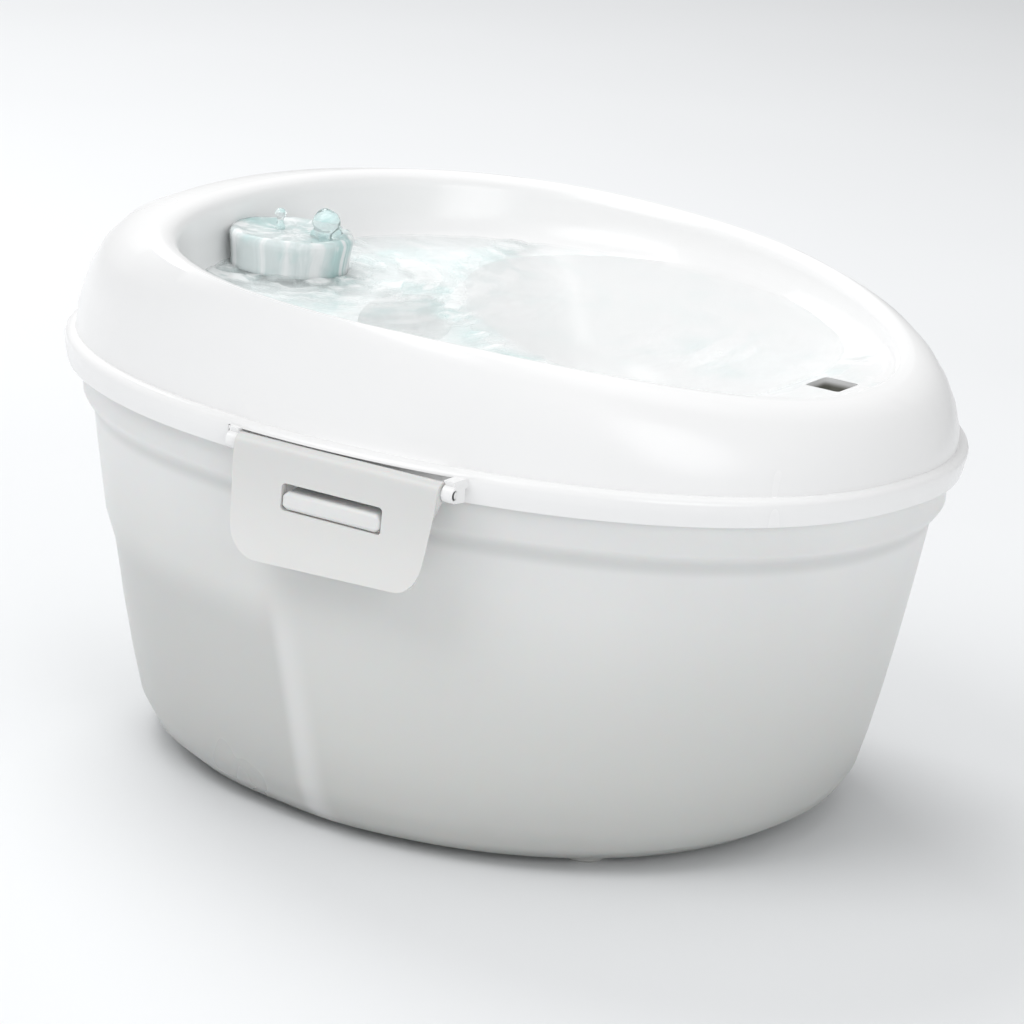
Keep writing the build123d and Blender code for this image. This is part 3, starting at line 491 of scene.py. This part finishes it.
def skin(node, shape=None, longest=0.0, cuts=None, bevel=0.0):
    """A welded, reshaped copy of a node's mesh, smooth over its curves, in the node's place."""
    source = nodes[node].data
    mesh = source.copy()
    mesh.name = node + "_skin"
    flat = [0.0] * (3 * len(source.loops))
    source.corner_normals.foreach_get("vector", flat)
    for layer in ("custom_normal", "sharp_edge", "sharp_face"):
        attribute = mesh.attributes.get(layer)
        if attribute:
            mesh.attributes.remove(attribute)
    cad_normal = mesh.attributes.new("cad_normal", "FLOAT_VECTOR", "CORNER")
    cad_normal.data.foreach_set("vector", flat)
    work = bmesh.new()
    work.from_mesh(mesh)
    bmesh.ops.remove_doubles(work, verts=work.verts, dist=weld_distance)
    if longest:
        split_long_edges(work, longest)
    if cuts:
        cuts(work)
    layer = work.verts.layers.float_vector.new("cad_place")
    for vert in work.verts:
        vert[layer] = vert.co
        if shape:
            vert.co = shape(vert.co)
    work.to_mesh(mesh)
    work.free()
    shade_smooth(mesh)
    mesh.set_sharp_from_angle(angle=smooth_angle)
    normals = reshaped_normals(mesh, shape)
    if not bevel:
        mesh.normals_split_custom_set(normals)
    piece = add_piece(node + "_skin", mesh, mats[slot_of[node]], body_of[node])
    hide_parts(node)
    if bevel:
        soft = piece.modifiers.new("soft_edges", "BEVEL")
        soft.width = bevel
        soft.segments = bevel_segments
        soft.limit_method = "ANGLE"
        soft.angle_limit = smooth_angle
    return piece


# The ring's crest, as the solid has it: a tilted egg-shaped oval
plan_power = 2.15
crest_forward = 9.5 * MM
crest_half_length = 104 * MM
crest_half_width = 97 * MM
crest_egg = -0.155
crest_tilt = -0.042
crest_height = 142 * MM
bead_height = 107.6 * MM
shelf_height = 125.5 * MM
# The real crest dips more towards its front than the solid's.
dip_start = 14 * MM
dip_rate = 0.85
# The drain's ledge lies a little above the shelf, up to the foot of the ring's inner wall.
ledge_start, ledge_run = 86 * MM, 6 * MM
ledge_rise = 2.0 * MM
ledge_rim, ledge_rim_run = 0.97, 0.05
ledge_low, ledge_high, ledge_fade = 112 * MM, 131 * MM, 4 * MM
# The bead under the skirt, which is fuller over the latches
bead_low, bead_top, bead_fade = 108 * MM, 111 * MM, 2 * MM
bead_inner = 96 * MM
bead_fullness = 0.8 * MM
bead_window, bead_window_fade = 38 * MM, 5 * MM

# Latches, as the solids have them
latch_middle = 11.2 * MM
latch_half_width = 31.25 * MM
latch_low = 74.8 * MM
latch_face, latch_thickness = 107.1 * MM, 2.6 * MM
slot_half_width = 15.5 * MM
slot_low = 90.5 * MM
# The lid's hinge ears at a latch's corners, and how much smaller the skin has them
hinge_z = 105.0 * MM
ear_start, ear_end = 31.5 * MM, 35.0 * MM
ear_root, ear_top = 103.3 * MM, 107.95 * MM
ear_depth_scale, ear_height_scale = 0.65, 0.8
# The flap's narrowing towards its lower edge
taper_start = 102 * MM
front_taper, rear_taper = 4.0 * MM, 1.0 * MM
side_slant = 1.3 * MM
front_corner_rise = 2.0 * MM
# The catch ribs on the tank's collar
collar_width, collar_inner = 98.4 * MM, 95 * MM
rib_half_width = 15.0 * MM
rib_low, rib_high = 91.0 * MM, 95.9 * MM
rib_middle = (rib_low + rib_high) / 2
rib_radius = (rib_high - rib_low) / 2
rib_straight = rib_half_width - rib_radius
rib_sag, rib_stretch = 0.4 * MM, 0.35 * MM
rib_blunt_end = 0.97
rib_cuts = (0.3, 0.55, 0.75, 0.88, 0.96)


def crest_ratio(x, y):
    """Place in plan against the crest: under 1 inside it, over 1 outside."""
    along = (x - crest_forward) / crest_half_length
    across = y / (crest_half_width * (1 + crest_egg * along))
    return (abs(along) ** plan_power + abs(across) ** plan_power) ** (1 / plan_power)


def lid_shape(place):
    """The crest's dip, the drain's raised ledge, smaller ears and a fuller bead at the latches."""
    x, y, z = place
    ratio = crest_ratio(x, y)
    crest_z = crest_height + crest_tilt * x
    low_z = shelf_height if ratio < 1 else bead_height
    dip = dip_rate * max(x - dip_start, 0) ** 2 * clamp((z - low_z) / (crest_z - low_z))
    lift = smooth_step((x - ledge_start) / ledge_run)
    lift *= smooth_step((ledge_rim - ratio) / ledge_rim_run)
    lift *= smooth_step((z - ledge_low) / ledge_fade) * smooth_step((ledge_high - z) / ledge_fade)
    side = -1 if y < 0 else 1
    out, along = abs(y), abs(x - latch_middle)
    if z < ear_top and out > ear_root and ear_start < along < ear_end:
        smaller_out = ear_root + ear_depth_scale * (out - ear_root)
        return Vector((x, side * smaller_out, hinge_z + ear_height_scale * (z - hinge_z)))
    if bead_low < z < bead_top and out > bead_inner:
        window = smooth_step((bead_window - along) / bead_window_fade)
        out += bead_fullness * (window * smooth_step((bead_top - z) / bead_fade))
    return Vector((x, side * out, z - dip + ledge_rise * lift))


def tank_shape(place):
    """Round ends on the catch ribs, which fill their slots to the bottom and to the rear end."""
    x, y, z = place
    if abs(y) < collar_width or not rib_low - MM < z < rib_high + MM:
        return Vector(place)
    along = x - latch_middle
    end = min(max((abs(along) - rib_straight) / rib_radius, 0.0), rib_blunt_end)
    z = rib_middle + (z - rib_middle) * sqrt(1 - end * end)
    z -= rib_sag * clamp((rib_high - z) / (rib_high - rib_low))
    return Vector((x - rib_stretch * clamp(0.5 - along / (2 * rib_half_width)), y, z))


def cut_rib_ends(work):
    """Cuts across the ribs' ends, so that they can be rounded."""
    for share in rib_cuts:
        for side in (-1, 1):
            faces = [face for face in work.faces if all(
                abs(vert.co.y) > collar_inner and abs(vert.co.z - rib_middle) < rib_radius + MM
                and abs(vert.co.x - latch_middle) < rib_half_width + MM for vert in face.verts)]
            edges = list({edge for face in faces for edge in face.edges})
            verts = list({vert for face in faces for vert in face.verts})
            place = (latch_middle + side * (rib_straight + share * rib_radius), 0, 0)
            bmesh.ops.bisect_plane(
                work, geom=faces + edges + verts, plane_co=place, plane_no=(1, 0, 0))


def latch_shape(place):
    """A flap that narrows downwards, more at its front end, with sides slanted in at its back."""
    x, y, z = place
    along = x - latch_middle
    side = 1 if along > 0 else -1
    taper = front_taper if side > 0 else rear_taper
    rim_start = slot_half_width + 2 * MM
    rim = clamp((abs(along) - rim_start) / (latch_half_width - rim_start))
    down = clamp((taper_start - z) / (taper_start - latch_low))
    back = clamp((latch_face - abs(y)) / latch_thickness) * clamp((taper_start - MM - z) / MM)
    x -= side * (taper * down * rim + side_slant * back * smooth_step(rim * 4 - 3))
    forward = clamp(0.5 + (x - latch_middle) / (2 * latch_half_width))
    z += front_corner_rise * down * forward * clamp((slot_low - MM - z) / (6 * MM))
    return Vector((x, y, z))


lid = skin("lid_bowl", lid_shape, longest=9 * MM)
skin("tank", tank_shape, cuts=cut_rib_ends)
skin("latch_near", latch_shape, longest=7 * MM, bevel=0.6 * MM)
skin("latch_far", latch_shape, longest=7 * MM, bevel=0.6 * MM)
skin("deflector_cap")

# ---- The filter's pads ----
pad_cuts = 17
pad_inset = 0.35 * MM
pad_rounding = 0.3 * MM
pore_scale, pore_depth = 9.0, 0.25 * MM


def soft_pad(node, name):
    """A foam or carbon pad in its node's box: rounded edges and an uneven, porous surface."""
    low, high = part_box(node)
    centre = [(a + b) / 2 for a, b in zip(low, high)]
    half = [(b - a) / 2 for a, b in zip(low, high)]
    work = bmesh.new()
    bmesh.ops.create_cube(work, size=2.0)
    bmesh.ops.subdivide_edges(work, edges=work.edges, cuts=pad_cuts, use_grid_fill=True)
    for vert in work.verts:
        rough = noise.noise(Vector(vert.co) * pore_scale) * pore_depth
        place = [c + v * (h - pad_inset) for c, v, h in zip(centre, vert.co, half)]
        sides_met = sum(abs(v) > 0.99 for v in vert.co)
        inward = max(sides_met - 1, 0) * pad_rounding
        vert.co = [p - (v * inward) + rough * v for p, v in zip(place, vert.co)]
    mesh = mesh_of(work, name)
    shade_smooth(mesh)
    pad = add_piece(name, mesh, mats[slot_of[node]], body_of[node])
    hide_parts(node)


soft_pad("filter_foam", "foam_pad")
soft_pad("filter_carbon", "carbon_pad")

# ---- Water: its level, the cap it wells up through, and the shelf's edge it spills over ----
water_level = 127.6 * MM
film_thickness = 0.5 * MM
basin_middle = Vector((8 * MM, 0, water_level))
spout_place = Vector((-71.5, -7.0)) * MM
cap_radius = 17.2 * MM
cap_top = 137.0 * MM
cap_hole = 12.6 * MM
spill_centre = Vector((87.0, 74.0)) * MM
spill_radius = 130.0 * MM
drain_box = ((93 * MM, 103 * MM), (-6.3 * MM, 6.3 * MM))
drain_ripples = Vector((72.0, 4.0)) * MM
streak_length = 16.0 * MM
# How far the running water reaches from the cap, the spill and the drain
spout_reach = 34 * MM
spill_offset, spill_reach = 3 * MM, 7 * MM
drain_reach_x, drain_reach_y = 26 * MM, 20 * MM
# The film's grid, and how it climbs at the wall
film_turns, film_rings = 260, 84
wall_gap = 0.1 * MM
shore_width, shore_rise = 1.2 * MM, 0.25 * MM


def water_material(name, calm, wild, wave):
    """A clear film: nearly unseen where it is calm, faint teal patches and white streaks where it
    runs, the white partly broken water and partly painted glints.
    """
    mat = Nodes(name)
    flow = mat.attribute("flow")
    streaks = mat.noise(2.6, 4, mat.attribute("flow_place", "Vector"), 0.8)
    patches = mat.noise(75.0, 3)
    tint = mat.mix(mat.spread(patches, 0.45, 0.68), (0.955, 0.985, 0.985), (0.82, 0.93, 0.925))
    # White streaks: partly broken water, partly painted glints on the ripples
    mat.colour(mat.mix(mat.spread(streaks, 0.50, 0.60), tint, (0.99, 1.0, 1.0)))
    strength = mat.spread(streaks, 0.40, 0.66, 0.3, 1.0)
    alpha = mat.math("ADD", mat.times(flow, strength, wild), calm)
    mat.link(alpha, mat.bsdf.inputs["Alpha"])
    mat.bump(streaks, 0.3, wave)
    mat.set(Roughness=0.12, IOR=1.33)
    return mat.material


def clear_water(name):
    mat = Nodes(name)
    mat.colour(mat.ramp(mat.noise(160, 2), (0.35, (0.90, 0.98, 0.98)), (0.65, (0.99, 1.0, 1.0))))
    mat.bump(mat.noise(420, 2), 0.15, 0.6 * MM)
    mat.set(Roughness=0.03, IOR=1.33, Transmission_Weight=0.85)
    return mat.material


film_material = water_material("water_film", 0.05, 0.6, 0.4 * MM)
cap_film_material = water_material("cap_film", 0.35, 0.45, 0.04 * MM)
drop_material = clear_water("water_drops")


def wall_tree(piece):
    work = bmesh.new()
    work.from_mesh(piece.data)
    tree = BVHTree.FromBMesh(work)
    work.free()
    return tree


def reach(tree, start, way):
    """Distance along a level line to the basin's wall: the last hit but one, inside the ring."""
    hits = []
    place = start.copy()
    while True:
        found, _, _, distance = tree.ray_cast(place, way, 1.0)
        if found is None:
            break
        hits.append((found - start).length)
        place = found + way * 0.01 * MM
    return hits[-2]


def flow_share(x, y):
    """How wildly the water runs at a place in the basin, from 0 to 1."""
    here = Vector((x, y))
    spout = (here - spout_place).length
    share = exp(-((max(spout - cap_radius, 0) / spout_reach) ** 2))
    edge = (here - spill_centre).length - spill_radius
    if edge > -4 * MM:
        share = max(share, 0.85 * exp(-(((edge - spill_offset) / spill_reach) ** 2)))
    if edge > 0:
        share = max(share, 0.30)
    drain = here - drain_ripples
    far = (drain.x / drain_reach_x) ** 2 + (drain.y / drain_reach_y) ** 2
    return max(share, 0.5 * exp(-far))


def ripple(x, y, share):
    """Height of the waves on the film, with a crown of water round the cap's foot."""
    here = Vector((x, y, 0))
    waves = noise.noise(here * 150) + 0.6 * noise.noise(here * 330)
    ring = (Vector((x, y)) - spout_place).length - cap_radius
    crown = 0.7 * MM * exp(-(((ring - 1.5 * MM) / (2.0 * MM)) ** 2))
    return waves * (0.08 + 0.75 * share) * MM + crown


def add_flow(mesh, shares):
    """What the water's material reads: how wildly it runs, its way and distance from the spout."""
    places = []
    for vert in mesh.vertices:
        away = Vector((vert.co.x, vert.co.y)) - spout_place
        way = away.normalized()
        places += [way.x, way.y, away.length / streak_length]
    mesh.attributes.new("flow", "FLOAT", "POINT").data.foreach_set("value", shares)
    mesh.attributes.new("flow_place", "FLOAT_VECTOR", "POINT").data.foreach_set("vector", places)


def close_downwards(work, depth):
    """Gives an open sheet a lower side, so that it is a closed film."""
    made = bmesh.ops.extrude_face_region(work, geom=list(work.faces))
    for item in made["geom"]:
        if isinstance(item, bmesh.types.BMVert):
            item.co.z -= depth
    bmesh.ops.recalc_face_normals(work, faces=work.faces)


def open_drain_and_cap(work):
    """Cuts the film round the drain hole, and takes it away there and under the cap."""
    for axis in (0, 1):
        normal = (1 - axis, axis, 0)
        for edge in drain_box[axis]:
            geometry = list(work.verts) + list(work.edges) + list(work.faces)
            place = (edge * (1 - axis), edge * axis, 0)
            bmesh.ops.bisect_plane(work, geom=geometry, plane_co=place, plane_no=normal)
    holes = []
    for face in work.faces:
        middle = face.calc_center_median()
        in_drain = all(low < middle[axis] < high for axis, (low, high) in enumerate(drain_box))
        if in_drain or (Vector(middle[:2]) - spout_place).length < cap_hole:
            holes.append(face)
    bmesh.ops.delete(work, geom=holes, context="FACES")


def basin_water():
    """The water over shelf and bowl, up to the wall, open at the drain hole and under the cap."""
    tree = wall_tree(lid)
    work = bmesh.new()
    grid = []
    for i in range(film_turns):
        angle = 2 * pi * i / film_turns
        way = Vector((cos(angle), sin(angle), 0))
        length = reach(tree, basin_middle, way) - wall_gap
        row = []
        for k in range(1, film_rings + 1):
            r = length * k / film_rings
            x, y = basin_middle.x + way.x * r, basin_middle.y + way.y * r
            shore = exp(-(length - r) / shore_width)
            wave = ripple(x, y, flow_share(x, y)) * (1 - shore)
            row.append(work.verts.new((x, y, water_level + wave + shore_rise * shore)))
        grid.append(row)
    middle = work.verts.new(basin_middle)
    for i in range(film_turns):
        near, far = grid[i], grid[(i + 1) % film_turns]
        work.faces.new((middle, near[0], far[0]))
        for k in range(film_rings - 1):
            work.faces.new((near[k], near[k + 1], far[k + 1], far[k]))
    open_drain_and_cap(work)
    close_downwards(work, film_thickness)
    mesh = mesh_of(work, "basin_water")
    shade_smooth(mesh)
    add_flow(mesh, [flow_share(vert.co.x, vert.co.y) for vert in mesh.vertices])
    add_piece("basin_water", mesh, film_material, "lid")


# The water on the cap in section: radius, and height over the cap's rim, in millimetres
cap_water_profile = (
    (0.0, 0.1), (4.0, 0.15), (8.0, 0.1), (11.5, 0.2), (14.0, 0.6), (15.6, 1.1), (16.9, 0.9),
    (17.5, 0.1), (17.75, -0.6), (17.55, -2.0), (17.2, -4.0), (16.9, -6.0), (16.75, -8.0),
    (17.0, -9.2),
)
cap_water_turns = 96
cap_water_thickness = 0.22 * MM
cap_water_flow = 0.75


def cap_water():
    """Water that fills the cap's dish and clings to its side down to the foot."""
    centre = Vector((*spout_place, 0))
    work = bmesh.new()
    rows = []
    for r, dz in cap_water_profile[1:]:
        row = []
        for i in range(cap_water_turns):
            angle = 2 * pi * i / cap_water_turns
            way = Vector((cos(angle), sin(angle), 0))
            wave = noise.noise(Vector((way.x * 3, way.y * 3, dz * 0.35)))
            wave += 0.5 * noise.noise(way * 9 + Vector((0, 0, dz)))
            place = centre + way * (r + 0.15 * wave * (dz < 0)) * MM
            place.z = cap_top + (dz + 0.3 * wave * (dz > 0)) * MM
            row.append(work.verts.new(place))
        rows.append(row)
    top = work.verts.new(centre + Vector((0, 0, cap_top + cap_water_profile[0][1] * MM)))
    for i in range(cap_water_turns):
        j = (i + 1) % cap_water_turns
        work.faces.new((top, rows[0][i], rows[0][j]))
        for near, far in zip(rows, rows[1:]):
            work.faces.new((near[i], far[i], far[j], near[j]))
    bmesh.ops.recalc_face_normals(work, faces=work.faces)
    bmesh.ops.solidify(work, geom=list(work.faces), thickness=cap_water_thickness)
    bmesh.ops.recalc_face_normals(work, faces=work.faces)
    mesh = mesh_of(work, "cap_water")
    shade_smooth(mesh)
    add_flow(mesh, [cap_water_flow] * len(mesh.vertices))
    add_piece("cap_water", mesh, cap_film_material, "deflector")


# The jets' drops: offset from the cap's middle in x and y, height over its rim, and radius, in
# millimetres
jet_drops = (
    (9.0, 3.5, 4.4, 3.9), (8.8, 3.4, 1.2, 2.9), (12.2, 3.9, 1.4, 2.1), (14.6, 4.0, 0.5, 1.7),
    (6.4, 2.6, 0.5, 1.8), (-5.0, 1.2, 4.6, 1.7), (-4.8, 1.1, 2.2, 1.1), (-4.6, 1.0, 0.6, 1.6),
)
jet_voxel = 0.45 * MM


def water_jets():
    """Two jets that well up through the cap's holes, as drops that run together."""
    work = bmesh.new()
    for dx, dy, dz, radius in jet_drops:
        place = Vector((spout_place.x + dx * MM, spout_place.y + dy * MM, cap_top + dz * MM))
        made = bmesh.ops.create_icosphere(work, subdivisions=3, radius=radius * MM)
        for vert in made["verts"]:
            swell = 1 + 0.12 * noise.noise(vert.co * 420 + place * 90)
            vert.co = place + vert.co * swell
    raw = bpy.data.objects.new("raw_jets", mesh_of(work, "raw_jets"))
    scene.collection.objects.link(raw)
    join = raw.modifiers.new("join", "REMESH")
    join.mode = "VOXEL"
    join.voxel_size = jet_voxel
    ease = raw.modifiers.new("ease", "SMOOTH")
    ease.factor = 0.6
    ease.iterations = 5
    bpy.context.view_layer.update()
    depsgraph = bpy.context.evaluated_depsgraph_get()
    mesh = bpy.data.meshes.new_from_object(raw.evaluated_get(depsgraph))
    mesh.name = "water_jets"
    bpy.data.objects.remove(raw)
    shade_smooth(mesh)
    add_piece("water_jets", mesh, drop_material, "deflector")


basin_water()
cap_water()
water_jets()

# ---- Floor ----
floor_half = 6.0
floor_work = bmesh.new()
bmesh.ops.create_grid(floor_work, x_segments=4, y_segments=4, size=floor_half)
floor = bpy.data.objects.new("floor", mesh_of(floor_work, "floor"))
scene.collection.objects.link(floor)
paint(floor, plastic("floor", (0.90, 0.905, 0.91), (0.915, 0.92, 0.925), 0.8, 0.02, 200, 2))

scene.view_settings.view_transform = "Standard"
